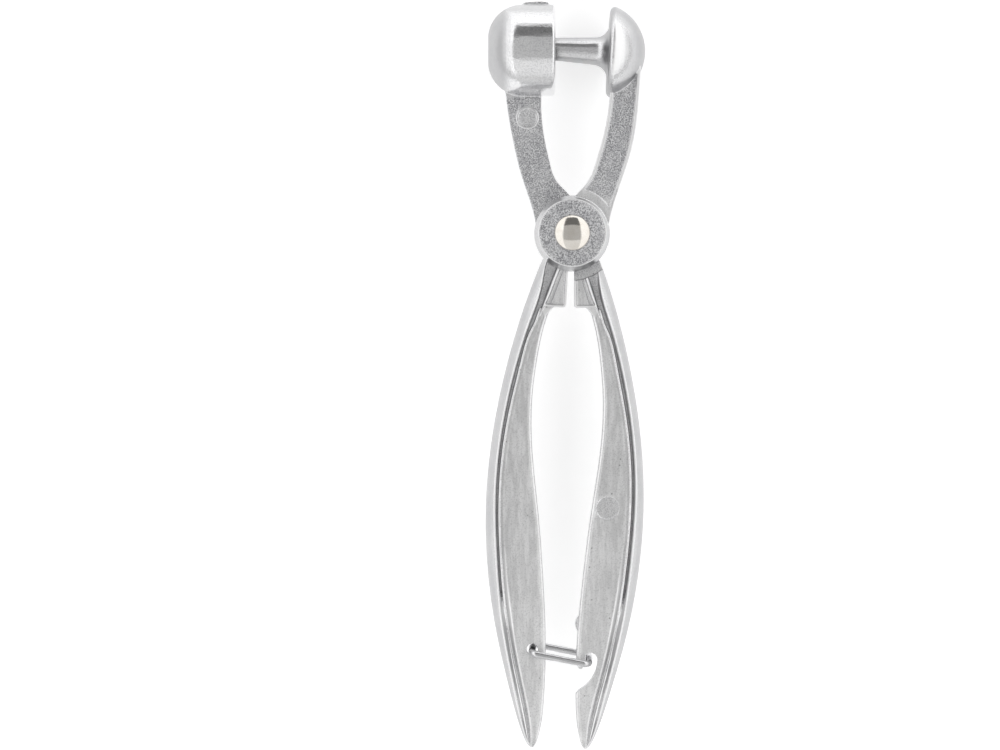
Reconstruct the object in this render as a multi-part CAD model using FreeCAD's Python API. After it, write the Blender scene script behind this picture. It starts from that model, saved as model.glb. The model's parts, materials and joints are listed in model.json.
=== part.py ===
import FreeCAD, Part
import math
import os
from FreeCAD import Vector

# Hand-held fruit stoner: two crossed cast levers on one rivet, a cup jaw, a plunger jaw and a wire bail
# that locks the handles together.  Millimetres.  Both levers are drawn about the rivet's axis (x = y = 0)
# with their lap plane at z = 0 and the jaws parallel.  The plunger lever is then opened by REST_OPENING,
# and everything is moved to the row's origin, the middle of the underside, at the very end.
# +Y runs to the jaws and +Z is the rivet's axis.  Each lever is drawn with its handle at +X, its arm and
# jaw at -X and its hub below the lap plane; the plunger lever is turned half a turn about Y.

# ---- driving dimensions ----------------------------------------------------------------------------
REST_OPENING = 3.0        # degrees between the latched levers and parallel jaws
LAP_GAP = 0.05            # each lever's clearance from the lap plane

HUB_R = 9.1               # foot of the hub's conical flank
HUB_TOP_R = 8.15          # rim of the hub's face
HUB_FLANK = 2.4           # height of the conical flank
HUB_T = 5.8               # height of the hub above the lap plane
HUB_DISH = 0.25           # depth of the hub's face inside its rim
HUB_DISH_R = 7.8
SWING_R = 11.35           # round relief that lets the other lever's hub turn
BORE_R = 2.55
POCKET_INNER_R = 3.3      # hidden ring pocket for the torsion spring
POCKET_OUTER_R = 5.9
POCKET_DEPTH = 1.9

RIVET_R = 2.5
RIVET_HEAD_R = 4.25
RIVET_HEAD_H = 1.6
RIVET_HEAD_RIM = 0.25
RIVET_TAIL_R = 3.5
RIVET_TAIL_H = 1.2
WASHER_R = 4.4
WASHER_T = 0.8

SPRING_WIRE_R = 0.45
SPRING_R = 4.6            # mean radius of the coil
SPRING_LEG_ANGLE = 200.0  # direction of the leg in the cup lever
SPRING_TURNS = 2 + (540 - 2 * SPRING_LEG_ANGLE - REST_OPENING) / 360
SPRING_RISE = 2.6
SPRING_LEG_R = 7.2        # how far out the legs reach

JAW_Y = 44.3              # the jaws' common axis above the rivet
CUP_R = 11.0
CUP_MOUTH_X = -4.1
CUP_LENGTH = 16.2
CUP_CORNER_R = 8.3        # rounding of the closed end
CUP_LIP_R = 0.9
CUP_BORE_R = 8.7
CUP_BORE_LENGTH = 5.0     # straight part of the inside
CUP_FLOOR = 3.0           # thickness round the stone hole
STONE_HOLE_R = 3.6

CUP_BOWL_X = 2.6          # a point on the hollow's bowl, in from its floor
CUP_BOWL_R = 6.96
GATE_SCAR = [(-12.3, -0.8), (-12.0, 0.2), (-11.2, 0.55), (-8.0, 0.75), (-5.9, 0.6), (-5.5, 0.1), (-5.5, -0.8)]
GATE_SCAR_Z = (-1.3, 1.1)

FACE_X = 6.45             # plunger jaw's flat face
JAW_R = 10.95
JAW_EDGE = 1.4            # rounding behind the face, along the axis
JAW_EDGE_DROP = 1.0       # and towards the axis
JAW_DEPTH = 8.95
PLUNGER_LENGTH = 27.05
PLUNGER_TIP_R = 2.0
PLUNGER_ROOT_R = 3.3
PLUNGER_FLARE_R = 3.5     # fillet where the plunger meets the jaw
PLUNGER_NOSE = 0.7        # rounding of the tip

ARM_RIM_Z = 4.2           # the arm's raised rims, from the lap plane
ARM_PANEL_Z = 3.5
ARM_RIM_W = 0.8
ARM_BAND_R = 10.9         # edge of the plain band round the hub
MARK_ON_ARM = Vector(-10.75, 28.0, 0)    # raised marks of the mould's ejector pins
MARK_ON_HANDLE = Vector(8.45, -66.3, 0)
MARK_R = 2.6
MARK_RING_W = 0.35
MARK_HEIGHT = 0.12

FLANGE_Z = 6.0            # half width of the handle's outer flange
FLANGE_LAND = 0.4         # land along the flange's crest, sloping outwards
LAND_DROP = 0.14
FLANGE_DRAFT = 0.25       # its inner wall's draft
FLANGE_LOW_Y = -84.0      # below here the flange sinks and its groove fills in
WEB_Z = 0.8               # half thickness at the bottom of the groove
PANEL_Z = 1.55            # half thickness of the panel's field
BEAD_Z = 1.9              # thin bead along the panel's groove side
BEAD_W = 0.3
BEAD_DROP = 0.1           # slope across the bead and across the lip
SHOULDER_Z = 1.62         # soft shoulder inside the bead, higher towards the tip
SHOULDER_LOW_Z = 1.74
LIP_Z = 1.68              # lip inside the panel's rounded inner edge
LIP_INSET = 0.7
EDGE_Z = 1.15             # half thickness at the inner edge itself
HANDLE_TIP_Y = -124.35
PANEL_TOP_Y = -18.3
GROOVE_END_Y = -27.0      # the groove's floor runs behind the panel's head to here

TAB_GAP = 0.55            # tab's edge from the middle line
TAB_BOTTOM_Y = -17.9
TAB_CORNER_R = 0.7
TAB_Z = 1.7
TAB_RIM_Z = 2.3
TAB_RIM_W = 0.5
TAB_TROUGH_Z = 1.35       # trough between the rib and the tab's field
TAB_TROUGH = [(1.6, -9.0), (4.2, -17.2), (5.2, -17.2), (3.6, -9.0)]
THROAT = [(2.9, -17.6), (3.75, -18.25), (4.35, -19.0), (5.6, -20.5), (6.6, -17.6)]
ROOT_TOP_Y = -6.5         # the handle's details start inside the hub
RIB_IN = 4.25             # rib's distance in from the outer edge
RIB_Z = 3.0
RIB_W = 1.0
RIB_DROP = 0.22           # slope across its top
RIB_END_Y = -20.3
GROOVE_NEAR = 1.2         # groove floor's edges, in from the outer edge
GROOVE_FAR = 5.2

WIRE_R = 0.85
BAIL_HOLE = Vector(-9.55, -100.3, 0)   # in the plunger lever's handle, latched
BAIL_HOLE_R = 1.4
BAIL_LENGTH = 13.95       # hole to crossbar
BAIL_TILT = -11.0         # degrees from +X, hole to crossbar
BAIL_LEAN = 16.0          # degrees the loop leans about its own length
BAIL_ARM_Z = 3.35
BAIL_BEND_R = 1.5
CATCH_GAP = 0.12          # crossbar's clearance from the catch tooth and the notch's lip
CATCH_TIP_Y = -105.1
CATCH_MIDDLE_Y = -103.4
CATCH_ROOT_Y = -101.9
CATCH_STEP_X = 1.75
NOTCH_MOUTH = (1.1, -104.2)
NOTCH_SIDE_X = -2.0       # outside the handle's inner edge
NOTCH_LIP_Y = (-110.1, -110.6, -111.05)   # the lip is cut back along the crossbar's swing
NOTCH_BELLY = (4.95, -107.0)
NOTCH_SHOULDER = (6.15, -103.2)
NOTCH_BROW = (5.75, -101.8)
NOTCH_CROWN = (4.75, -101.2)
NOTCH_ROOF = (3.9, -101.3)
FLASH = [(1.9, -92.0), (0.75, -94.2), (1.6, -96.2)]
FLASH_Z = 0.35

Z_AXIS = Vector(0, 0, 1)
X_AXIS = Vector(1, 0, 0)
Y_AXIS = Vector(0, 1, 0)
ORIGIN = Vector(0, 0, 0)

# Edges of the handle and the arms, from the hub outwards.  The handle is at +X, the arms at -X.
HANDLE_OUTER = [(6.6, -6), (8.5, -11.4), (13.7, -30.7), (16.7, -50), (17.35, -66), (16.35, -80),
                (13.7, -95), (9.7, -109.5), (7.3, -117), (5.1, -122.4), (4.3, -123.7), (3.55, -124.4)]
HANDLE_INNER = [(4.0, -17.6), (5.1, -21), (6.8, -30.7), (7.5, -42), (6.5, -55), (4.3, -69.3),
                (2.6, -83), (1.5, -94), (0.9, -105), (0.85, -112), (1.2, -118.6), (1.9, -122.3),
                (2.35, -123.6), (3.05, -124.4)]
# Lines along the handle, each as its distance in from the outer edge.
CREST_LINE = [(2.75, -6), (2.6, -13), (2.1, -25), (1.8, -42), (1.85, -60), (2.12, -82), (1.7, -94),
              (1.35, -104), (0.95, -113), (0.3, -124.4)]
BEAD_LINE = [(5.85, -17.5), (5.05, -20), (4.1, -21.4), (3.42, -23.4), (3.12, -25.5), (3.1, -31),
             (2.95, -45), (2.9, -56), (3.15, -82), (2.7, -97), (2.3, -107), (1.75, -117.5), (0.4, -124.4)]
SHOULDER_LINE = [(6.2, -17.5), (4.6, -26), (4.25, -34), (4.0, -52), (4.35, -80), (4.2, -93), (3.6, -107),
                 (2.85, -118), (0.6, -124.4)]
CUP_ARM_INNER = [(0.5, 8.2), (-1.5, 10.4), (-3.7, 12.8), (-5.4, 17.6), (-6.5, 22.5), (-7.25, 28), (-7.2, 36)]
CUP_ARM_OUTER = [(-8.6, 1.0), (-10.15, 8.0), (-11.8, 12.8), (-14.25, 22.5), (-15.5, 29.5), (-16.2, 36)]
JAW_ARM_INNER = [(0.5, 8.2), (-1.5, 10.5), (-3.3, 13.0), (-4.95, 17.9), (-6.1, 22.8), (-6.95, 28), (-7.3, 37)]
JAW_ARM_OUTER = [(-8.6, 1.0), (-9.3, 6.0), (-12.0, 15.9), (-13.2, 20.8), (-14.1, 28), (-14.4, 41)]


# ---- drawing helpers -------------------------------------------------------------------------------
def curve(points):
    spline = Part.BSplineCurve()
    spline.interpolate([Vector(x, y, 0) for x, y in points])
    return spline


def x_at(spline, y):
    """x where a curve that falls steadily in y crosses the height y."""
    low, high = spline.FirstParameter, spline.LastParameter
    for _ in range(40):
        middle = (low + high) / 2
        if spline.value(middle).y > y:
            low = middle
        else:
            high = middle
    return spline.value(low).x


def at(point):
    return Vector(point[0], point[1], 0)


def line(a, b):
    return Part.LineSegment(a, b).toShape()


def closed(points):
    """Straight edges round a closed outline."""
    return [line(at(a), at(b)) for a, b in zip(points, points[1:] + points[:1])]


def arc(a, b, c):
    return Part.Arc(a, b, c).toShape()


def plate(edges, z_low, z_high):
    wire = Part.Wire(Part.__sortEdges__(edges))
    face = Part.Face(wire)
    face.translate(Vector(0, 0, z_low))
    return face.extrude(Vector(0, 0, z_high - z_low))


def disc(radius, z_low, z_high, centre=ORIGIN):
    return Part.makeCylinder(radius, z_high - z_low, Vector(centre.x, centre.y, z_low), Z_AXIS)


def ring(outer, inner, z_low, z_high, centre=ORIGIN):
    return disc(outer, z_low, z_high, centre).cut(disc(inner, z_low - 1, z_high + 1, centre))


def turned(edges):
    """Solid of revolution about X from a half outline that closes along the axis."""
    return Part.Face(Part.Wire(Part.__sortEdges__(edges))).revolve(ORIGIN, X_AXIS, 360)


def cap(x, radius, height):
    """Half outline of a spherical cap, from its rim at x to its crown; height may be negative."""
    ball = (radius ** 2 + height ** 2) / (2 * height)
    centre = x + height - ball
    half_angle = math.asin(radius / abs(ball)) / 2
    middle = Vector(centre + ball * math.cos(half_angle), abs(ball) * math.sin(half_angle), 0)
    return arc(Vector(x, radius, 0), middle, Vector(x + height, 0, 0))


def mirrored_z(points):
    """Closed outline from its +z half: the points, then their mirror images in reverse."""
    return points + [Vector(p.x, p.y, -p.z) for p in reversed(points)]


def loft(wires):
    return Part.makeLoft(wires, True, False)


def strip(inner_points, outer_points, z_low, z_high):
    """Flat bar between two edges that are given from bottom to top."""
    inner, outer = curve(inner_points), curve(outer_points)
    edges = [inner.toShape(), outer.toShape(),
             line(inner.StartPoint, outer.StartPoint), line(inner.EndPoint, outer.EndPoint)]
    return plate(edges, z_low, z_high)


def shifted(points, dx):
    return [(x + dx, y) for x, y in points]


def ease(t):
    t = max(0.0, min(1.0, t))
    return t * t * (3 - 2 * t)


# ---- the cast handle, at +X ------------------------------------------------------------------------
OUTER = curve(HANDLE_OUTER)
INNER = curve(HANDLE_INNER)
CREST = curve(CREST_LINE)
BEAD = curve(BEAD_LINE)
SHOULDER = curve(SHOULDER_LINE)


def width_scale(y):
    """Shrinks every detail of the section as the handle narrows to its tip."""
    room = x_at(OUTER, y) - x_at(INNER, min(y, HANDLE_INNER[0][1]))
    return min(1.0, room / 6.2)


def inset(spline, y, most):
    """Distance in from the outer edge of a line along the handle, kept within part of the room there."""
    room = x_at(OUTER, y) - x_at(INNER, min(y, HANDLE_INNER[0][1]))
    return min(x_at(spline, y), most * room)


def flange_half_width(y):
    root = 0.9 * ease((y + 25) / 16)
    sinking = 3.2 * ease((FLANGE_LOW_Y - y) / 32)
    tip = 1.5 * ease((-120 - y) / 4.3)
    return FLANGE_Z - root - sinking - tip


def flange_section(y):
    k = width_scale(y)
    half = flange_half_width(y)
    filled = ease((FLANGE_LOW_Y - y) / 10)
    crest = inset(CREST, y, 0.4) - 0.1 * k
    land = crest + FLANGE_LAND * k
    foot = land + FLANGE_DRAFT * k
    foot += (inset(BEAD, y, 0.6) - 0.05 * k - foot) * filled
    foot_z = WEB_Z * 0.6 + (BEAD_Z - 0.1 - WEB_Z * 0.6) * filled * k
    x0 = x_at(OUTER, y)

    def point(s, z):
        return Vector(x0 - s, y, z)

    outer_half = half - LAND_DROP * k
    back = arc(point(crest, -outer_half), point(0, 0), point(crest, outer_half))
    corners = [point(crest, outer_half), point(land, half), point(foot, foot_z)]
    corners += [Vector(p.x, p.y, -p.z) for p in reversed(corners)]
    return Part.Wire([back] + [line(a, b) for a, b in zip(corners, corners[1:])])


def flange():
    stations = [ROOT_TOP_Y, -11, -16, -22, -30, -40, -52, -66, -78, -84, -89, -94, -101, -109, -116, -120, -122.4,
                -123.6, HANDLE_TIP_Y]
    return loft([flange_section(y) for y in stations])


def panel_section(y):
    """Bead, soft shoulder, flat field and rounded inner edge, as distances in from the outer edge."""
    x0 = x_at(OUTER, y)
    room = x0 - x_at(INNER, y)
    edge = inset(BEAD, y, 0.6)
    k = min(width_scale(y), (room - edge) / 2.6)
    shoulder = max(edge + 0.75 * k, min(inset(SHOULDER, y, 0.8), room - 1.4 * k))
    shoulder_z = SHOULDER_Z + (SHOULDER_LOW_Z - SHOULDER_Z) * ease((-76 - y) / 16)
    valley = 0.45 * ease((-92 - y) / 14)
    thinner = 1 - 0.3 * ease((-119 - y) / 5)
    profile = [(edge - 0.2 * k, WEB_Z * 0.5), (edge - 0.1 * k, BEAD_Z - 0.15), (edge, BEAD_Z),
               (edge + BEAD_W * 0.7 * k, BEAD_Z - BEAD_DROP), (edge + BEAD_W * 1.3 * k, PANEL_Z - valley),
               (shoulder - 0.2 * k, shoulder_z - valley * 0.4), (shoulder, shoulder_z),
               (shoulder + 0.3 * k, PANEL_Z), (room - (LIP_INSET + 0.3) * k, PANEL_Z),
               (room - LIP_INSET * k, LIP_Z), (room - 0.42 * k, LIP_Z - BEAD_DROP), (room - 0.12 * k, EDGE_Z + 0.25),
               (room, EDGE_Z)]
    corners = mirrored_z([Vector(x0 - s, y, z * thinner) for s, z in profile])
    return Part.makePolygon(corners + corners[:1])


def panel():
    stations = [PANEL_TOP_Y, -19.6, -21, -22.6, -24.5, -27, -31, -38, -48, -60, -72, -84, -93, -100, -107, -113,
                -118, -121, -122.8, -123.7, HANDLE_TIP_Y]
    return loft([panel_section(y) for y in stations])


def web_section(y):
    k = width_scale(y)
    x0 = x_at(OUTER, y)
    near = x0 - inset(CREST, y, 0.4) + 0.1 * k
    far = x0 - inset(BEAD, y, 0.6) - 0.1 * k
    half = WEB_Z - 0.3 * ease((-119 - y) / 5)
    corners = [Vector(near, y, half), Vector(far, y, half), Vector(far, y, -half), Vector(near, y, -half)]
    return Part.makePolygon(corners + corners[:1])


def web():
    stations = [GROOVE_END_Y + 1, -31, -40, -52, -66, -80, -94, -105, -115, -120, -122.8, -123.8]
    return loft([web_section(y) for y in stations])


def rib_section(y):
    """Ridge beside the groove, from the hub to the head of the panel."""
    x0 = x_at(OUTER, y) - RIB_IN
    ending = ease((-15 - y) / (-15 - RIB_END_Y))
    height = RIB_Z - (RIB_Z - BEAD_Z) * ending
    width = RIB_W - (RIB_W - 0.25) * ending
    draft = 0.2 - 0.1 * ending
    profile = [(-draft, 0.3), (draft, height), (width - draft, height - RIB_DROP * (1 - 0.6 * ending)), (width + draft, 0.3)]
    corners = mirrored_z([Vector(x0 - s, y, z) for s, z in profile])
    return Part.makePolygon(corners + corners[:1])


def rib():
    return loft([rib_section(y) for y in (ROOT_TOP_Y, -9.5, -12.5, -15, -17, -19, RIB_END_Y)])


def tab_plate(rim, z_low, z_high):
    """The stop tab under the hub, or its field inside a rim."""
    left = TAB_GAP + rim
    bottom = TAB_BOTTOM_Y + rim
    radius = max(TAB_CORNER_R - rim, 0.15)
    top = ROOT_TOP_Y
    under_rib = RIB_IN + RIB_W / 2
    right_top = x_at(OUTER, top) - under_rib
    right = x_at(OUTER, bottom) - under_rib
    bend = radius * (1 - math.sqrt(0.5))
    corner = [Vector(left, bottom + radius, 0), Vector(left + bend, bottom + bend, 0),
              Vector(left + radius, bottom, 0)]
    edges = [line(Vector(left, top, 0), corner[0]), arc(*corner), line(corner[2], Vector(right, bottom, 0)),
             line(Vector(right, bottom, 0), Vector(right_top, top, 0)),
             line(Vector(right_top, top, 0), Vector(left, top, 0))]
    return plate(edges, z_low, z_high)


def throat_fillet():
    """Fills the corner where the tab's foot runs into the handle's inner edge."""
    a, b, c, d, e = [at(point) for point in THROAT]
    return plate([arc(a, b, c), line(c, d), line(d, e), line(e, a)], -TAB_Z, TAB_Z)


def trough(z_low, z_high):
    """Wedge beside the rib, sunk below the tab's field."""
    return plate(closed(TAB_TROUGH), z_low, z_high)


def tab():
    body = tab_plate(0, -TAB_RIM_Z, TAB_RIM_Z)
    for sign in (1, -1):
        low, high = sorted((sign * TAB_Z, sign * (TAB_RIM_Z + 1)))
        body = body.cut(tab_plate(TAB_RIM_W, low, high))
        low, high = sorted((sign * TAB_TROUGH_Z, sign * (TAB_RIM_Z + 1)))
        body = body.cut(trough(low, high))
    return body


def groove_floor():
    """Web between the flange and the rib, above the head of the panel."""
    high, low = x_at(OUTER, ROOT_TOP_Y), x_at(OUTER, GROOVE_END_Y)
    corners = [(high - GROOVE_NEAR, ROOT_TOP_Y), (low - GROOVE_NEAR, GROOVE_END_Y),
               (low - GROOVE_FAR, GROOVE_END_Y), (high - GROOVE_FAR, ROOT_TOP_Y)]
    return plate(closed(corners), -WEB_Z, WEB_Z)


def handle():
    body = flange()
    for piece in (web(), panel(), groove_floor(), rib(), tab(), throat_fillet()):
        body = body.fuse(piece)
    return body


# ---- hub and arm -----------------------------------------------------------------------------------
def hub():
    z_flank = -(HUB_T - HUB_FLANK)
    body = disc(HUB_R, z_flank, -LAP_GAP)
    flank = Part.makeCone(HUB_R, HUB_TOP_R, HUB_FLANK, Vector(0, 0, z_flank), Vector(0, 0, -1))
    return body.fuse(flank)


def arm(inner_points, outer_points):
    body = strip(inner_points, outer_points, -ARM_RIM_Z, -LAP_GAP)
    inner_side, outer_side = shifted(inner_points, -ARM_RIM_W), shifted(outer_points, ARM_RIM_W)
    recess = strip(inner_side, outer_side, -ARM_RIM_Z - 1, -ARM_PANEL_Z)
    recess = recess.cut(disc(ARM_BAND_R, -ARM_RIM_Z - 2, 0))
    return body.cut(recess)


def spring_slot(angle):
    """Slot that holds one leg of the torsion spring."""
    half = SPRING_WIRE_R + 0.1
    slot = Part.makeBox(SPRING_LEG_R + 0.3 - SPRING_R, 2 * half, POCKET_DEPTH)
    slot.translate(Vector(SPRING_R, -half, -LAP_GAP - POCKET_DEPTH))
    slot.rotate(ORIGIN, Z_AXIS, angle)
    return slot


def lever(inner_points, outer_points):
    """Handle, hub and arm in one casting, before its jaw is added."""
    body = handle()
    body = body.cut(disc(SWING_R, -LAP_GAP, FLANGE_Z + 5))
    body = body.fuse(hub()).fuse(arm(inner_points, outer_points))
    return body


def drilled(body):
    """Rivet bore, dished hub face and spring pocket."""
    body = body.cut(disc(BORE_R, -HUB_T - 5, 5))
    body = body.cut(disc(HUB_DISH_R, -HUB_T - 2, -HUB_T + HUB_DISH))
    body = body.cut(ring(POCKET_OUTER_R, POCKET_INNER_R, -LAP_GAP - POCKET_DEPTH, 1))
    return body.cut(spring_slot(SPRING_LEG_ANGLE))


def ejector_marks(body):
    """Marks left by the mould's ejector pins: a ring on the arm's lap face, a disc on the handle's panel."""
    body = body.fuse(ring(MARK_R, MARK_R - MARK_RING_W, -1, MARK_HEIGHT - LAP_GAP, MARK_ON_ARM))
    body = body.cut(ring(MARK_R + MARK_RING_W, MARK_R, PANEL_Z - MARK_HEIGHT, PANEL_Z + 1, MARK_ON_HANDLE))
    return body.fuse(disc(MARK_R, PANEL_Z - 1, PANEL_Z + MARK_HEIGHT, MARK_ON_HANDLE))


# ---- the cup lever ---------------------------------------------------------------------------------
def cup_solid():
    end_x = CUP_MOUTH_X - CUP_LENGTH
    flat = CUP_R - CUP_CORNER_R
    slant = math.sqrt(0.5)
    corner_x = end_x + CUP_CORNER_R
    lip_x = CUP_MOUTH_X - CUP_LIP_R
    lip_r = CUP_R - CUP_LIP_R
    edges = [line(Vector(end_x, 0, 0), Vector(end_x, flat, 0)),
             arc(Vector(end_x, flat, 0),
                 Vector(corner_x - CUP_CORNER_R * slant, flat + CUP_CORNER_R * slant, 0),
                 Vector(corner_x, CUP_R, 0)),
             line(Vector(corner_x, CUP_R, 0), Vector(lip_x, CUP_R, 0)),
             arc(Vector(lip_x, CUP_R, 0),
                 Vector(lip_x + CUP_LIP_R * slant, lip_r + CUP_LIP_R * slant, 0),
                 Vector(CUP_MOUTH_X, lip_r, 0)),
             line(Vector(CUP_MOUTH_X, lip_r, 0), Vector(CUP_MOUTH_X, 0, 0)),
             line(Vector(CUP_MOUTH_X, 0, 0), Vector(end_x, 0, 0))]
    return turned(edges)


def cup_hollow():
    end_x = CUP_MOUTH_X - CUP_LENGTH
    straight_x = CUP_MOUTH_X - CUP_BORE_LENGTH
    floor_x = end_x + CUP_FLOOR
    bowl = Vector(floor_x + CUP_BOWL_X, CUP_BOWL_R, 0)
    edges = [line(Vector(CUP_MOUTH_X + 3, 0, 0), Vector(CUP_MOUTH_X + 3, CUP_BORE_R, 0)),
             line(Vector(CUP_MOUTH_X + 3, CUP_BORE_R, 0), Vector(straight_x, CUP_BORE_R, 0)),
             arc(Vector(straight_x, CUP_BORE_R, 0), bowl, Vector(floor_x, STONE_HOLE_R, 0)),
             line(Vector(floor_x, STONE_HOLE_R, 0), Vector(end_x - 3, STONE_HOLE_R, 0)),
             line(Vector(end_x - 3, STONE_HOLE_R, 0), Vector(end_x - 3, 0, 0)),
             line(Vector(end_x - 3, 0, 0), Vector(CUP_MOUTH_X + 3, 0, 0))]
    return turned(edges)


def gate_scar():
    """Broken-off stub of the casting's gate along the top of the cup."""
    return plate(closed([(x, JAW_Y + CUP_R + y) for x, y in GATE_SCAR]), *GATE_SCAR_Z)


def catch_notch():
    """Notch in the inner edge that the bail's crossbar swings up into, behind a catch tooth."""
    inner_r = BAIL_LENGTH - WIRE_R - CATCH_GAP
    outer_r = BAIL_LENGTH + WIRE_R + CATCH_GAP

    def on_swing(radius, y):
        return Vector(BAIL_HOLE.x + math.sqrt(radius ** 2 - (y - BAIL_HOLE.y) ** 2), y, 0)

    tip, middle, root = [on_swing(inner_r, y) for y in (CATCH_TIP_Y, CATCH_MIDDLE_Y, CATCH_ROOT_Y)]
    lip, lip_middle, lip_end = [on_swing(outer_r, y) for y in NOTCH_LIP_Y]
    step = Vector(CATCH_STEP_X, CATCH_TIP_Y, 0)
    mouth_side = Vector(NOTCH_SIDE_X, NOTCH_MOUTH[1], 0)
    lip_side = Vector(NOTCH_SIDE_X, lip_end.y, 0)
    edges = [arc(root, middle, tip), line(tip, step), line(step, at(NOTCH_MOUTH)),
             line(at(NOTCH_MOUTH), mouth_side), line(mouth_side, lip_side), line(lip_side, lip_end),
             arc(lip_end, lip_middle, lip), arc(lip, at(NOTCH_BELLY), at(NOTCH_SHOULDER)),
             arc(at(NOTCH_SHOULDER), at(NOTCH_BROW), at(NOTCH_CROWN)),
             arc(at(NOTCH_CROWN), at(NOTCH_ROOF), root)]
    return plate(edges, -FLANGE_Z, FLANGE_Z)


def parting_flash():
    """Sliver of flash on the inner edge, left by the mould's parting line."""
    top, middle, bottom = [at(point) for point in FLASH]
    return plate([arc(top, middle, bottom), line(bottom, top)], -FLASH_Z, FLASH_Z)


def at_jaw(shape):
    shape.translate(Vector(0, JAW_Y, 0))
    return shape


def cup_lever():
    body = lever(CUP_ARM_INNER, CUP_ARM_OUTER)
    body = body.fuse(at_jaw(cup_solid())).fuse(gate_scar())
    body = body.cut(at_jaw(cup_hollow())).cut(catch_notch())
    body = body.fuse(parting_flash())
    return ejector_marks(drilled(body))


# ---- the plunger lever -----------------------------------------------------------------------------
def jaw_dome():
    back_x = FACE_X + JAW_EDGE
    face_r = JAW_R - JAW_EDGE_DROP
    slant = 1 - math.sqrt(0.5)
    middle = Vector(FACE_X + JAW_EDGE * slant, JAW_R - JAW_EDGE_DROP * slant, 0)
    edges = [line(Vector(FACE_X, 0, 0), Vector(FACE_X, face_r, 0)),
             arc(Vector(FACE_X, face_r, 0), middle, Vector(back_x, JAW_R, 0)),
             cap(back_x, JAW_R, JAW_DEPTH - JAW_EDGE),
             line(Vector(FACE_X + JAW_DEPTH, 0, 0), Vector(FACE_X, 0, 0))]
    return turned(edges)


def plunger():
    tip_x = FACE_X - PLUNGER_LENGTH
    root_x = FACE_X - PLUNGER_FLARE_R
    flare = PLUNGER_ROOT_R + PLUNGER_FLARE_R
    slant = PLUNGER_FLARE_R * (1 - math.sqrt(0.5))
    edges = [line(Vector(FACE_X + 2, 0, 0), Vector(FACE_X + 2, flare, 0)),
             line(Vector(FACE_X + 2, flare, 0), Vector(FACE_X, flare, 0)),
             arc(Vector(FACE_X, flare, 0), Vector(FACE_X - slant, PLUNGER_ROOT_R + slant, 0),
                 Vector(root_x, PLUNGER_ROOT_R, 0)),
             line(Vector(root_x, PLUNGER_ROOT_R, 0), Vector(tip_x + PLUNGER_NOSE, PLUNGER_TIP_R, 0)),
             arc(Vector(tip_x + PLUNGER_NOSE, PLUNGER_TIP_R, 0),
                 Vector(tip_x + 0.2, PLUNGER_TIP_R - 0.45, 0),
                 Vector(tip_x, PLUNGER_TIP_R - PLUNGER_NOSE, 0)),
             line(Vector(tip_x, PLUNGER_TIP_R - PLUNGER_NOSE, 0), Vector(tip_x, 0, 0)),
             line(Vector(tip_x, 0, 0), Vector(FACE_X + 2, 0, 0))]
    return turned(edges)


def plunger_lever():
    body = ejector_marks(drilled(lever(JAW_ARM_INNER, JAW_ARM_OUTER)))
    body.rotate(ORIGIN, Y_AXIS, 180)
    body = body.fuse(at_jaw(jaw_dome())).fuse(at_jaw(plunger()))
    body.rotate(ORIGIN, Z_AXIS, -REST_OPENING)
    return body.cut(disc(BAIL_HOLE_R, -FLANGE_Z, FLANGE_Z, BAIL_HOLE))


# ---- rivet, washer, spring and bail ----------------------------------------------------------------
def pivot_rivet():
    """Domed head, plain shank and peened tail, drawn along X and stood up."""
    head_x = HUB_T - HUB_DISH + LAP_GAP
    rim_x = head_x + RIVET_HEAD_RIM
    tail_x = -HUB_T + HUB_DISH - WASHER_T
    edges = [cap(tail_x, RIVET_TAIL_R, -RIVET_TAIL_H),
             line(Vector(tail_x, RIVET_TAIL_R, 0), Vector(tail_x, RIVET_R, 0)),
             line(Vector(tail_x, RIVET_R, 0), Vector(head_x, RIVET_R, 0)),
             line(Vector(head_x, RIVET_R, 0), Vector(head_x, RIVET_HEAD_R, 0)),
             line(Vector(head_x, RIVET_HEAD_R, 0), Vector(rim_x, RIVET_HEAD_R, 0)),
             cap(rim_x, RIVET_HEAD_R, RIVET_HEAD_H - RIVET_HEAD_RIM),
             line(Vector(head_x + RIVET_HEAD_H, 0, 0), Vector(tail_x - RIVET_TAIL_H, 0, 0))]
    body = turned(edges)
    body.rotate(ORIGIN, Y_AXIS, -90)
    return body


def rivet_washer():
    top = -HUB_T + HUB_DISH
    return ring(WASHER_R, RIVET_R, top - WASHER_T, top)


def torsion_spring():
    helix = Part.makeHelix(SPRING_RISE / SPRING_TURNS, SPRING_RISE, SPRING_R)
    profile = Part.Wire(Part.makeCircle(SPRING_WIRE_R, Vector(SPRING_R, 0, 0), Y_AXIS))
    coil = Part.Wire(helix.Edges).makePipeShell([profile], True, True)
    low_leg = Part.makeCylinder(SPRING_WIRE_R, SPRING_LEG_R - SPRING_R, Vector(SPRING_R, 0, 0), X_AXIS)
    high_leg = low_leg.copy()
    high_leg.rotate(ORIGIN, Z_AXIS, 360 * SPRING_TURNS)
    high_leg.translate(Vector(0, 0, SPRING_RISE))
    body = coil.fuse(low_leg).fuse(high_leg)
    body.rotate(ORIGIN, Z_AXIS, SPRING_LEG_ANGLE)
    body.translate(Vector(0, 0, -SPRING_RISE / 2))
    return body


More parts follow.
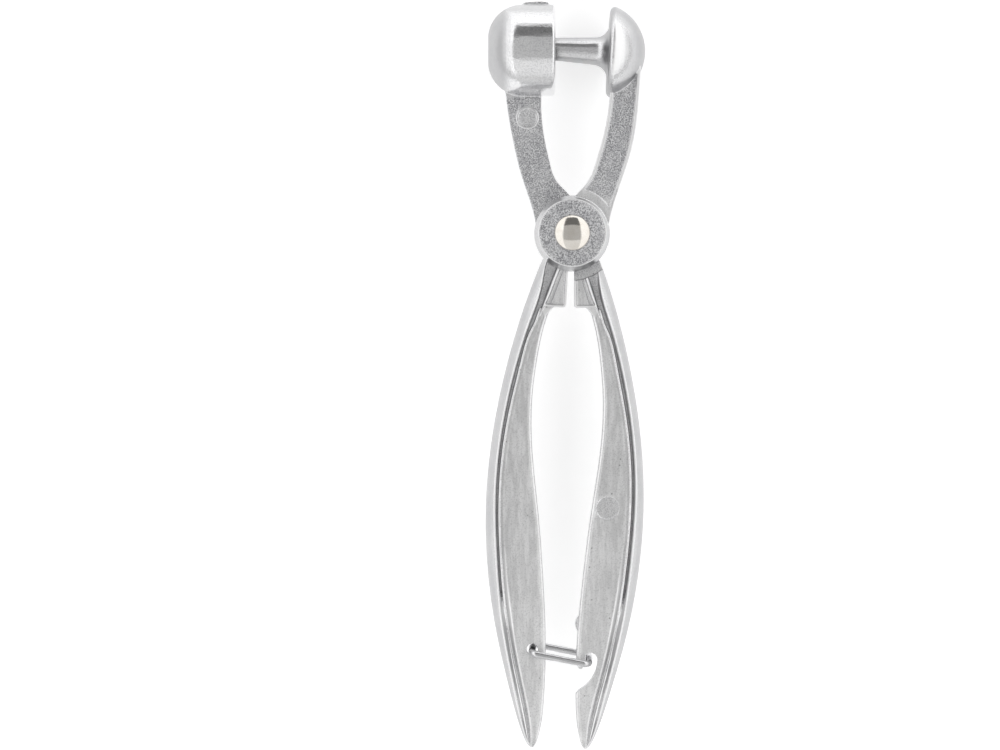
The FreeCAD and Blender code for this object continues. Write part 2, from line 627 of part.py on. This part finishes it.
def wire_bail():
    """One loop of wire: two ends in the handle's hole, two arms and a crossbar."""
    long, half, bend = BAIL_LENGTH, BAIL_ARM_Z, BAIL_BEND_R
    inset = bend * (1 - math.sqrt(0.5))
    end = 0.15

    def corner(x, z, x_in, z_in):
        start = Vector(x, 0, z + z_in * bend)
        middle = Vector(x + x_in * inset, 0, z + z_in * inset)
        return start, middle, Vector(x + x_in * bend, 0, z)

    low_near, low_far = corner(0, -half, 1, 1), corner(long, -half, -1, 1)
    high_far, high_near = corner(long, half, -1, -1), corner(0, half, 1, -1)
    path = [line(Vector(0, 0, -end), low_near[0]), arc(*low_near), line(low_near[2], low_far[2]),
            arc(*reversed(low_far)), line(low_far[0], high_far[0]), arc(*high_far),
            line(high_far[2], high_near[2]), arc(*reversed(high_near)), line(high_near[0], Vector(0, 0, end))]
    profile = Part.Wire(Part.makeCircle(WIRE_R, Vector(0, 0, -end), Z_AXIS))
    body = Part.Wire(path).makePipeShell([profile], True, False)
    body.rotate(ORIGIN, X_AXIS, BAIL_LEAN)
    body.rotate(ORIGIN, Z_AXIS, BAIL_TILT)
    body.translate(BAIL_HOLE)
    return body


# ---- assembly --------------------------------------------------------------------------------------
def build():
    pieces = {
        "cup_lever": cup_lever(),
        "plunger_lever": plunger_lever(),
        "pivot_rivet": pivot_rivet(),
        "rivet_washer": rivet_washer(),
        "torsion_spring": torsion_spring(),
        "wire_bail": wire_bail(),
    }
    box = FreeCAD.BoundBox()
    for shape in pieces.values():
        box.add(shape.optimalBoundingBox(False))
    home = Vector(-(box.XMin + box.XMax) / 2, -(box.YMin + box.YMax) / 2, -box.ZMin)
    os.makedirs("parts", exist_ok=True)
    for name, shape in pieces.items():
        shape.translate(home)
        shape.exportStep("parts/" + name + ".step")
        print(name, shape.ShapeType, len(shape.Solids), "valid", shape.isValid(), "volume", round(shape.Volume, 2))
    print("rivet axis", home, "bail hole", BAIL_HOLE + home)
    print("size", box.XLength, box.YLength, box.ZLength)


build()
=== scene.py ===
import json
import math
import bmesh
import bpy
import numpy as np
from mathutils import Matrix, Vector


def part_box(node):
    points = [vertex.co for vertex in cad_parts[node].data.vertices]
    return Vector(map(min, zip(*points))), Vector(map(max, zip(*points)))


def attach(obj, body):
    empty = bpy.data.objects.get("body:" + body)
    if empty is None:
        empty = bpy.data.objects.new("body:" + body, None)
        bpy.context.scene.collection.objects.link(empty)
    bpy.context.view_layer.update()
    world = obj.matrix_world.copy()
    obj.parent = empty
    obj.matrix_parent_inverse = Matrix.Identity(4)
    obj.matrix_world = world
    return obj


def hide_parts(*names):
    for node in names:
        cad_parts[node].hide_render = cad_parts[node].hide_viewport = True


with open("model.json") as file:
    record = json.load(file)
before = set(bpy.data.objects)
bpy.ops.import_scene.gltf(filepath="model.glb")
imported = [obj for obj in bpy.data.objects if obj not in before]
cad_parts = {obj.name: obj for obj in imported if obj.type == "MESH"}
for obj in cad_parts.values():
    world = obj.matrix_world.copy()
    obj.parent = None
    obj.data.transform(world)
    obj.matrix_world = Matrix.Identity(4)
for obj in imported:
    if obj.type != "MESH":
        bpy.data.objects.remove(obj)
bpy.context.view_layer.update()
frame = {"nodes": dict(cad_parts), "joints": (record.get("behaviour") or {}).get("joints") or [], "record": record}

# ---- places read from the frame, metres ------------------------------------------------------------
joints = {j["name"]: j for j in frame["joints"]}
mounts = {m["name"]: m for m in frame["record"]["mounts"]}
PIVOT = Vector(joints["handle_pivot"]["pos_m"])
FACE_AXIS = Vector(mounts["plunger_jaw_face"]["axis"])
REST_OPENING = math.atan2(FACE_AXIS.y, -FACE_AXIS.x)
MM = 0.001

# ---- sizes of the real features, millimetres, in a lever's own coordinates --------------------------
JAW_Y = 44.3              # the jaws' axis above the rivet
CUP_R = 11.0
DOME_BALL_X = -4.10       # centre of the ball that rounds the plunger jaw
DOME_BALL_R = 11.30
HUB_R = 9.1
HUB_FACE_R = 8.15
HUB_T = 5.8
LAP_DEPTH = 3             # the hub's lap face and pocket are within this height
SWING_R = 11.35           # round relief that the other lever's hub turns in
STEP_FLOOR_Z = -0.4       # the relief's floor is above this
CUP_ARM_START_Y = -1.0
PLUNGER_ARM_START_Y = 7.5
ARM_PANEL_Z = 3.5
ARM_RIM_START_Y = 10.5    # the rims rise out of the band round the hub
ARM_MARK = (-10.75, 28.0)     # centres of the round ejector marks
HANDLE_MARK = (8.45, -66.3)
MARK_R = 2.6
HANDLE_START_Y = -8.0
GROOVE_Z = 1.0            # the groove's floor is lower than this
FLANGE_Z = 2.5            # only the flange's back is further out than this
TAB_RIM_Z = 1.85
LIP_Z = 1.68
TAB_BOTTOM_Y = -17.9
RIVET_SHANK_R = 2.5
RIVET_TAIL_R = 3.5
RIVET_HEAD_H = 1.6
RIVET_HEAD_EDGE = 0.25
WASHER_BORE_R = 2.52
WASHER_EDGE = 0.12

VOXEL = 0.125 * MM        # the castings' edges round off over a few voxels
CAST_SOFTENING = 3
CAST_TRIANGLES = 195000
WIRE_VOXEL = 0.1 * MM
WIRE_SOFTENING = 6
TURNED_SEGMENTS = 96


# ---- mesh helpers ----------------------------------------------------------------------------------
def coordinates(mesh):
    co = np.empty(len(mesh.vertices) * 3, np.float32)
    mesh.vertices.foreach_get("co", co)
    return co.reshape(-1, 3).astype(float)


def normals(mesh):
    no = np.empty(len(mesh.vertices) * 3, np.float32)
    mesh.vertices.foreach_get("normal", no)
    return no.reshape(-1, 3).astype(float)


def smoothstep(low, high, x):
    t = np.clip((x - low) / (high - low), 0, 1)
    return t * t * (3 - 2 * t)


def link(name, mesh):
    piece = bpy.data.objects.new(name, mesh)
    bpy.context.scene.collection.objects.link(piece)
    return piece


def evaluated(piece):
    """Applies the piece's modifiers."""
    graph = bpy.context.evaluated_depsgraph_get()
    mesh = bpy.data.meshes.new_from_object(piece.evaluated_get(graph))
    piece.modifiers.clear()
    piece.data = mesh
    return piece


def shade_smooth(mesh):
    mesh.polygons.foreach_set("use_smooth", [True] * len(mesh.polygons))


def lathe(name, outline, segments, centre):
    """Turns an outline of (radius, z) in millimetres about the vertical through centre."""
    bm = bmesh.new()
    rings = []
    for radius, z in outline:
        if radius == 0:
            rings.append([bm.verts.new(centre + Vector((0, 0, z * MM)))] * segments)
            continue
        turn = 2 * math.pi / segments
        rings.append([bm.verts.new(centre + MM * Vector((radius * math.cos(i * turn),
                                                         radius * math.sin(i * turn), z)))
                      for i in range(segments)])
    for low, high in zip(rings, rings[1:]):
        for i in range(segments):
            k = (i + 1) % segments
            corners = list(dict.fromkeys([low[i], low[k], high[k], high[i]]))
            bm.faces.new(corners)
    bmesh.ops.recalc_face_normals(bm, faces=bm.faces)
    mesh = bpy.data.meshes.new(name)
    bm.to_mesh(mesh)
    bm.free()
    shade_smooth(mesh)
    return link(name, mesh)


# ---- materials -------------------------------------------------------------------------------------
class Tree:
    """Short calls for building shader nodes."""

    def __init__(self, tree):
        self.nodes = tree.nodes
        self.links = tree.links

    def plug(self, value, socket):
        if isinstance(value, bpy.types.NodeSocket):
            self.links.new(value, socket)
        else:
            socket.default_value = value

    def math(self, operation, a, b=0.0):
        node = self.nodes.new("ShaderNodeMath")
        node.operation = operation
        self.plug(a, node.inputs[0])
        self.plug(b, node.inputs[1])
        return node.outputs["Value"]

    def span(self, value, from_low, from_high, to_low=0.0, to_high=1.0):
        """Smooth step from to_low at from_low to to_high at from_high."""
        node = self.nodes.new("ShaderNodeMapRange")
        node.interpolation_type = "SMOOTHSTEP"
        limits = {"From Min": from_low, "From Max": from_high, "To Min": to_low, "To Max": to_high}
        for name, amount in limits.items():
            node.inputs[name].default_value = amount
        self.plug(value, node.inputs["Value"])
        return node.outputs["Result"]


class MaterialTree(Tree):
    """The same for a new material, with its textures, mixes and bumps."""

    def __init__(self, name):
        self.material = bpy.data.materials.new(name)
        self.material.use_nodes = True
        super().__init__(self.material.node_tree)
        self.shader = self.nodes["Principled BSDF"]

    def set(self, name, value):
        self.shader.inputs[name].default_value = value

    def position(self):
        return self.nodes.new("ShaderNodeTexCoord").outputs["Object"]

    def along(self):
        """Place along the tool, metres."""
        node = self.nodes.new("ShaderNodeSeparateXYZ")
        self.links.new(self.position(), node.inputs[0])
        return node.outputs["Y"]

    def attribute(self, name):
        node = self.nodes.new("ShaderNodeAttribute")
        node.attribute_name = name
        return node.outputs["Fac"]

    def noise(self, scale, detail=3.0, stretch=None):
        source = self.position()
        if stretch:
            mapping = self.nodes.new("ShaderNodeMapping")
            mapping.inputs["Scale"].default_value = stretch
            self.links.new(source, mapping.inputs["Vector"])
            source = mapping.outputs["Vector"]
        node = self.nodes.new("ShaderNodeTexNoise")
        node.inputs["Scale"].default_value = scale
        node.inputs["Detail"].default_value = detail
        node.inputs["Roughness"].default_value = 0.6
        self.links.new(source, node.inputs["Vector"])
        return node.outputs["Fac"]

    def pits(self, scale, reach):
        """Dots: 1 inside a small random pit, 0 outside."""
        node = self.nodes.new("ShaderNodeTexVoronoi")
        node.inputs["Scale"].default_value = scale
        self.links.new(self.position(), node.inputs["Vector"])
        return self.span(node.outputs["Distance"], reach, reach * 0.35)

    def mix(self, factor, a, b):
        """a where factor is 0, b where it is 1; numbers."""
        node = self.nodes.new("ShaderNodeMix")
        self.plug(factor, node.inputs["Factor"])
        self.plug(a, node.inputs["A"])
        self.plug(b, node.inputs["B"])
        return node.outputs["Result"]

    def colour(self, factor, a, b):
        """a where factor is 0, b where it is 1; colours."""
        node = self.nodes.new("ShaderNodeMix")
        node.data_type = "RGBA"
        self.plug(factor, node.inputs[0])
        self.plug(a if isinstance(a, bpy.types.NodeSocket) else (*a, 1), node.inputs[6])
        self.plug(b if isinstance(b, bpy.types.NodeSocket) else (*b, 1), node.inputs[7])
        return node.outputs[2]

    def bump(self, height, distance, strength, below=None):
        node = self.nodes.new("ShaderNodeBump")
        self.plug(strength, node.inputs["Strength"])
        node.inputs["Distance"].default_value = distance
        self.links.new(height, node.inputs["Height"])
        if below:
            self.links.new(below, node.inputs["Normal"])
        return node.outputs["Normal"]

    def finish(self, colour=None, roughness=None, normal=None):
        for name, value in (("Base Color", colour), ("Roughness", roughness), ("Normal", normal)):
            if value is not None:
                self.links.new(value, self.shader.inputs[name])
        return self.material


# Stored on each casting's points: sandy as cast, polished, painted shade on polish that faces sideways, painted
# highlight on raised edges.
ZONES = ("sand", "gloss", "side", "rim_highlight")


def cast_aluminium():
    """Sandy as cast, satin on the handles' panels, polished on the jaws, the rims and the handles' backs; painted
    shade darkens polish that faces sideways and a painted highlight lightens the raised rims.
    """
    t = MaterialTree("cast_aluminium_finish")
    sand, gloss, side, rim_highlight = [t.attribute(zone) for zone in ZONES]
    grain = t.noise(3300, 1.5)
    clumps = t.noise(700)
    patches = t.noise(160)
    streaks = t.noise(420, stretch=(2.0, 0.3, 2.0))
    pits = t.pits(330, 0.10)
    sandy = t.colour(t.span(grain, 0.38, 0.60), (0.30, 0.30, 0.315), (0.88, 0.88, 0.89))
    sandy = t.colour(t.span(clumps, 0.42, 0.64, 0, 0.42), sandy, (0.36, 0.36, 0.38))
    sandy = t.colour(t.span(patches, 0.40, 0.62, 0.22, 0.0), sandy, (0.90, 0.90, 0.90))
    satin = t.colour(t.span(streaks, 0.35, 0.65), (0.81, 0.81, 0.81), (0.97, 0.97, 0.97))
    satin = t.colour(t.span(grain, 0.34, 0.50, 0.34, 0.0), satin, (0.48, 0.48, 0.48))
    satin = t.colour(t.math("MULTIPLY", pits, 0.7), satin, (0.30, 0.30, 0.30))
    bright = t.colour(t.span(patches, 0.35, 0.70), (0.88, 0.88, 0.885), (0.83, 0.83, 0.84))
    # painted shade: a darker copy of the polish for surfaces that face sideways, standing in for dimmer
    # reflections there
    shaded_polish = t.colour(t.span(patches, 0.35, 0.70), (0.53, 0.53, 0.535), (0.49, 0.49, 0.50))
    bright = t.colour(side, bright, shaded_polish)
    bright = t.colour(t.span(grain, 0.36, 0.54, 0.30, 0.0), bright, (0.42, 0.42, 0.43))
    # painted highlight: near-white base colour on the raised rims and edges
    bright = t.colour(rim_highlight, bright, (0.98, 0.98, 0.98))
    colour = t.colour(sand, satin, sandy)
    colour = t.colour(gloss, colour, bright)
    to_tip = t.span(t.along(), -0.015, -0.070)
    satin_rough = t.mix(to_tip, t.span(streaks, 0.3, 0.7, 0.34, 0.42), 0.50)
    rough = t.mix(sand, satin_rough, t.span(clumps, 0.3, 0.7, 0.44, 0.58))
    polish = t.mix(side, t.span(patches, 0.3, 0.7, 0.15, 0.22), 0.36)
    rough = t.mix(gloss, rough, t.mix(rim_highlight, polish, 0.50))
    fine = t.bump(grain, 0.10 * MM, t.mix(sand, 0.12, 0.55))
    wavy = t.bump(t.noise(120, 2.0), 0.2 * MM, t.mix(gloss, 0.2, 0.05), fine)
    t.set("Metallic", 1.0)
    return t.finish(colour, rough, wavy)


def nickel():
    t = MaterialTree("polished_nickel")
    haze = t.noise(380)
    colour = t.colour(t.span(haze, 0.3, 0.7), (0.80, 0.77, 0.72), (0.74, 0.70, 0.64))
    rough = t.span(haze, 0.3, 0.7, 0.07, 0.13)
    normal = t.bump(t.noise(500, 2.0), 0.02 * MM, 0.4)
    t.set("Metallic", 1.0)
    return t.finish(colour, rough, normal)


def drawn_wire(name, light, dark, rough_low, rough_high):
    t = MaterialTree(name)
    lines = t.noise(900, stretch=(0.3, 1.5, 1.5))
    colour = t.colour(t.span(lines, 0.35, 0.65), light, dark)
    rough = t.span(lines, 0.3, 0.7, rough_low, rough_high)
    normal = t.bump(lines, 0.02 * MM, 0.3)
    t.set("Metallic", 1.0)
    return t.finish(colour, rough, normal)


CAST = cast_aluminium()
NICKEL = nickel()
BRIGHT_WIRE = drawn_wire("bright_steel_wire", (0.72, 0.72, 0.73), (0.60, 0.60, 0.61), 0.14, 0.24)
SPRING_WIRE = drawn_wire("dark_spring_wire", (0.36, 0.36, 0.38), (0.26, 0.26, 0.28), 0.25, 0.4)


# ---- the two castings ------------------------------------------------------------------------------
def lever_directions(vectors, turned):
    """Into a lever's own coordinates: jaws parallel, the handle at +X and the arm below the lap plane."""
    if not turned:
        return vectors
    c, s = math.cos(REST_OPENING), math.sin(REST_OPENING)
    x, y = vectors[:, 0] * c - vectors[:, 1] * s, vectors[:, 0] * s + vectors[:, 1] * c
    return np.stack([-x, y, -vectors[:, 2]], axis=1)


def lever_coordinates(points, turned):
    """Millimetres about the rivet."""
    return lever_directions((points - np.array(PIVOT)) / MM, turned)


def facing_sideways(direction):
    return 1 - smoothstep(0.45, 0.85, np.abs(direction[:, 2]))


def jaw_zones(x, y, z, direction, turned):
    """Where the jaw is, and where painted shade darkens its polish."""
    from_axis = np.hypot(y - JAW_Y, z)
    if turned:
        ball = np.hypot(np.minimum(x - DOME_BALL_X, 0), from_axis)
        jaw = 1 - smoothstep(DOME_BALL_R + 0.07, DOME_BALL_R + 0.25, ball)
        # painted shade on the dome, stronger where it faces sideways
        return jaw, 0.35 + 0.65 * facing_sideways(direction)
    jaw = 1 - smoothstep(CUP_R + 0.06, CUP_R + 0.22, from_axis)
    # painted shade on the cup's closed end and, more weakly, on its top
    end = smoothstep(0.25, 0.6, -direction[:, 0])
    top = 0.6 * smoothstep(0.72, 0.84, direction[:, 1])
    return np.where(x > 0, 0, jaw), np.maximum(end, top)


def hub_zones(z, from_pivot, upright):
    """The whole hub, its dished face and its lap face."""
    hub = 1 - smoothstep(HUB_R + 0.05, HUB_R + 0.5, from_pivot)
    face = hub * smoothstep(HUB_T - 0.75, HUB_T - 0.45, np.abs(z))
    face *= 1 - smoothstep(HUB_FACE_R - 0.35, HUB_FACE_R - 0.15, from_pivot)
    lap = hub * smoothstep(0.6, 0.9, upright) * (np.abs(z) < LAP_DEPTH)
    return hub, face, lap


def arm_zones(x, y, z, upright, turned):
    """The arm's sandy panel and the raised ring on its lap face."""
    start = PLUNGER_ARM_START_Y if turned else CUP_ARM_START_Y
    panel = smoothstep(start, start + 3, y) * smoothstep(0.8, 0.97, upright)
    panel *= 1 - smoothstep(ARM_PANEL_Z + 0.15, ARM_PANEL_Z + 0.4, np.abs(z)) * (z < 0)
    from_mark = np.hypot(x - ARM_MARK[0], y - ARM_MARK[1])
    lap_side = z > -1
    ring = smoothstep(MARK_R - 0.45, MARK_R - 0.3, from_mark) * (from_mark < MARK_R + 0.15) * lap_side
    panel *= 1 - np.maximum(0.9 * ring, 0.45 * (from_mark < MARK_R) * lap_side)
    return panel, ring


def handle_zones(x, y, z, direction, in_step):
    """The handle's sandy groove, its back, its raised lines and the disc on its panel."""
    upright = np.abs(direction[:, 2])
    groove = (1 - smoothstep(GROOVE_Z, GROOVE_Z + 0.3, np.abs(z))) * smoothstep(0.5, 0.8, upright)
    groove *= 1 - in_step
    from_mark = np.hypot(x - HANDLE_MARK[0], y - HANDLE_MARK[1])
    mark = (1 - smoothstep(MARK_R + 0.1, MARK_R + 0.3, from_mark)) * (z > 0)
    back = np.maximum(smoothstep(FLANGE_Z, FLANGE_Z + 0.4, np.abs(z)), smoothstep(0.3, 0.6, direction[:, 0]))
    lines = smoothstep(LIP_Z - 0.08, LIP_Z - 0.01, np.abs(z)) * (y < TAB_BOTTOM_Y - 0.4)
    rims = smoothstep(TAB_RIM_Z, TAB_RIM_Z + 0.15, np.abs(z))
    return groove, back, np.maximum(lines, rims) * (1 - 0.7 * mark), mark


def finish_zones(local, direction, turned):
    """The ZONES of every point, from where it lies on the casting and which way it faces."""
    x, y, z = local.T
    upright = np.abs(direction[:, 2])
    sideways = facing_sideways(direction)
    from_pivot = np.hypot(x, y)
    jaw, jaw_painted_shade = jaw_zones(x, y, z, direction, turned)
    hub, face, lap = hub_zones(z, from_pivot, upright)
    arm, ring = arm_zones(x, y, z, upright, turned)
    arm *= (1 - hub) * (1 - jaw)
    handle = smoothstep(HANDLE_START_Y, HANDLE_START_Y - 1.5, y) * (1 - hub)
    in_step = (1 - smoothstep(SWING_R - 0.2, SWING_R, from_pivot)) * (y < 0) * (1 - hub) * (z > STEP_FLOOR_Z)
    groove, back, raised, mark = handle_zones(x, y, z, direction, in_step)
    raised *= handle
    sand = np.clip(face + arm + lap + 0.4 * handle * groove + 0.2 * in_step + 0.3 * mark, 0, 1) * (1 - jaw)
    flank = hub * (1 - face) * (1 - lap)
    edges = 0.8 * (1 - smoothstep(0.6, 0.95, upright)) * (1 - hub)
    arm_rim = smoothstep(ARM_RIM_START_Y, ARM_RIM_START_Y + 1, y) * (1 - jaw)
    arm_rim *= smoothstep(ARM_PANEL_Z + 0.25, ARM_PANEL_Z + 0.5, -z)
    gloss = np.clip(jaw + handle * back + raised + 0.75 * flank + edges + arm_rim + 0.6 * ring, 0, 1)
    # painted shade: polish facing sideways is marked for the darker colour, and on the jaws as jaw_zones gives it
    side = jaw * jaw_painted_shade + (1 - jaw) * 0.85 * sideways
    hub_rim = hub * smoothstep(HUB_T - 0.3, HUB_T - 0.15, np.abs(z)) * (1 - face)
    # painted highlight: the raised rims that face up get the near-white colour
    rim_highlight = np.clip(arm_rim + raised + hub_rim, 0, 1) * smoothstep(0.72, 0.85, upright)
    return sand, gloss * (1 - sand), side, rim_highlight


def rounded_copy(name, node, voxel, softening):
    """A copy of a CAD node with its edges rounded."""
    piece = link(name, frame["nodes"][node].data.copy())
    piece.data.materials.clear()
    remesh = piece.modifiers.new("voxels", "REMESH")
    remesh.mode = "VOXEL"
    remesh.voxel_size = voxel
    soften = piece.modifiers.new("soften", "SMOOTH")
    soften.factor = 0.5
    soften.iterations = softening
    return evaluated(piece)


def casting(name, node, body, turned):
    """The CAD casting with its edges rounded the way a mould leaves them, and its finish zones."""
    piece = rounded_copy(name, node, VOXEL, CAST_SOFTENING)
    thin = piece.modifiers.new("thin", "DECIMATE")
    thin.ratio = min(1.0, CAST_TRIANGLES / (2 * len(piece.data.polygons)))
    evaluated(piece)
    mesh = piece.data
    mesh.materials.append(CAST)
    shade_smooth(mesh)
    local = lever_coordinates(coordinates(mesh), turned)
    direction = lever_directions(normals(mesh), turned)
    for key, values in zip(ZONES, finish_zones(local, direction, turned)):
        attribute = mesh.attributes.new(key, "FLOAT", "POINT")
        attribute.data.foreach_set("value", values.astype(np.float32))
    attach(piece, body)
    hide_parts(node)


casting("cup_lever_casting", "cup_lever", "cup_lever", False)
casting("plunger_lever_casting", "plunger_lever", "plunger_lever", True)


# ---- rivet, washer, spring and bail ----------------------------------------------------------------
def dome_outline(radius, height, z, steps, up):
    """From the rim to the crown of a spherical cap."""
    ball = (radius ** 2 + height ** 2) / (2 * height)
    widest = math.asin(radius / ball)
    points = []
    for i in range(steps + 1):
        angle = widest * (1 - i / steps)
        rise = ball * math.cos(angle) - (ball - height)
        points.append((ball * math.sin(angle) if i < steps else 0, z + up * rise))
    return points


def rivet():
    low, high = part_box("pivot_rivet")
    head_r = (high.x - low.x) / 2 / MM
    bottom, top = (low.z - PIVOT.z) / MM, (high.z - PIVOT.z) / MM
    head_z = top - RIVET_HEAD_H
    rim_z = head_z + RIVET_HEAD_EDGE
    tail_z = (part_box("rivet_washer")[0].z - PIVOT.z) / MM
    outline = [(0, bottom)]
    outline += dome_outline(RIVET_TAIL_R, tail_z - bottom, tail_z, 12, -1)[-2::-1]
    outline += [(RIVET_TAIL_R - 0.03, tail_z), (RIVET_SHANK_R, tail_z), (RIVET_SHANK_R, tail_z + 0.05),
                (RIVET_SHANK_R, head_z - 0.05), (RIVET_SHANK_R, head_z), (head_r - 0.12, head_z),
                (head_r, head_z + 0.08), (head_r, rim_z - 0.03)]
    outline += dome_outline(head_r, top - rim_z, rim_z, 20, 1)
    piece = lathe("domed_rivet", outline, TURNED_SEGMENTS, PIVOT)
    piece.data.materials.append(NICKEL)
    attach(piece, "cup_lever")
    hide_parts("pivot_rivet")


def washer():
    low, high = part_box("rivet_washer")
    outer = (high.x - low.x) / 2 / MM
    bottom, top = (low.z - PIVOT.z) / MM, (high.z - PIVOT.z) / MM
    outline = [(WASHER_BORE_R, bottom), (outer - WASHER_EDGE, bottom),
               (outer - WASHER_EDGE * 0.3, bottom + WASHER_EDGE * 0.3), (outer, bottom + WASHER_EDGE),
               (outer, top - WASHER_EDGE * 0.5), (outer - WASHER_EDGE * 0.5, top), (WASHER_BORE_R, top),
               (WASHER_BORE_R, bottom)]
    piece = lathe("back_washer", outline, TURNED_SEGMENTS, PIVOT)
    piece.data.materials.append(NICKEL)
    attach(piece, "cup_lever")
    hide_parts("rivet_washer")


def bail():
    piece = rounded_copy("bail_wire", "wire_bail", WIRE_VOXEL, WIRE_SOFTENING)
    shade_smooth(piece.data)
    piece.data.materials.append(BRIGHT_WIRE)
    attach(piece, "bail")
    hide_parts("wire_bail")


def hidden_spring():
    """The coil in its pocket keeps its CAD mesh."""
    mesh = frame["nodes"]["torsion_spring"].data
    mesh.materials.clear()
    mesh.materials.append(SPRING_WIRE)


rivet()
washer()
bail()
hidden_spring()


# ---- stage: floor, light and camera ----------------------------------------------------------------
def plain_floor():
    half, level = 1.5, -0.4 * MM        # metres; just under the tool
    bm = bmesh.new()
    corners = [(-half, -half), (half, -half), (half, half), (-half, half)]
    bm.faces.new([bm.verts.new((x, y, level)) for x, y in corners])
    mesh = bpy.data.meshes.new("floor")
    bm.to_mesh(mesh)
    bm.free()
    floor = link("floor", mesh)
    t = MaterialTree("pale_floor")
    t.set("Base Color", (0.80, 0.80, 0.80, 1))
    t.set("Roughness", 0.9)
    t.set("Specular IOR Level", 0.1)
    t.set("Emission Color", (1, 1, 1, 1))
    t.set("Emission Strength", 0.50)
    mesh.materials.append(t.material)


def studio_world():
    """White tent with a grey strip overhead, darker towards +Y; its walls are greyer low down towards -Y."""
    strip_level, dark_share = 0.52, 0.33
    world = bpy.data.worlds.new("studio")
    bpy.context.scene.world = world
    world.use_nodes = True
    t = Tree(world.node_tree)
    background = t.nodes["Background"]
    split = t.nodes.new("ShaderNodeSeparateXYZ")
    t.links.new(t.nodes.new("ShaderNodeTexCoord").outputs["Generated"], split.inputs[0])
    x, y, z = split.outputs
    # places overhead, as their distance across and along the tool for each metre of height
    height = t.math("MAXIMUM", z, 0.05)
    across = t.math("ABSOLUTE", t.math("DIVIDE", x, height))
    along = t.math("DIVIDE", y, height)
    strip = t.span(across, 0.74, 0.60)
    strip = t.math("MULTIPLY", strip, t.span(along, -0.56, -0.48))
    strip = t.math("MULTIPLY", strip, t.span(along, 2.1, 1.8))
    dark = t.math("MULTIPLY", strip, t.span(along, 0.55, 0.68))
    high = t.span(y, -0.25, 0.35, 0.85, 1.35)
    high = t.math("MAXIMUM", high, t.span(across, 0.60, 0.80, 0.0, 1.25))
    low = t.span(y, 0.3, 0.8, 0.68, 1.3)
    walls = t.math("ADD", low, t.math("MULTIPLY", t.span(z, 0.15, 0.45), t.math("SUBTRACT", high, low)))
    level = t.math("ADD", walls, t.math("MULTIPLY", strip, t.math("SUBTRACT", strip_level, walls)))
    level = t.math("MULTIPLY", level, t.span(dark, 0.0, 1.0, 1.0, dark_share))
    t.links.new(level, background.inputs["Strength"])
    background.inputs["Color"].default_value = (1, 1, 1, 1)


def photo_camera():
    """Straight down on the tool, which lies right of the picture's middle; metres, the sensor in mm."""
    width, side, distance, middle_z, sensor = 0.2416, 0.0158, 0.9, 0.011, 36
    data = bpy.data.cameras.new("camera")
    data.sensor_width = sensor
    data.lens = sensor * distance / width
    data.clip_start = 0.01
    camera = bpy.data.objects.new("camera", data)
    bpy.context.scene.collection.objects.link(camera)
    camera.location = (-side, 0, middle_z + distance)
    bpy.context.scene.camera = camera


plain_floor()
studio_world()
photo_camera()
bpy.context.scene.view_settings.view_transform = "Standard"
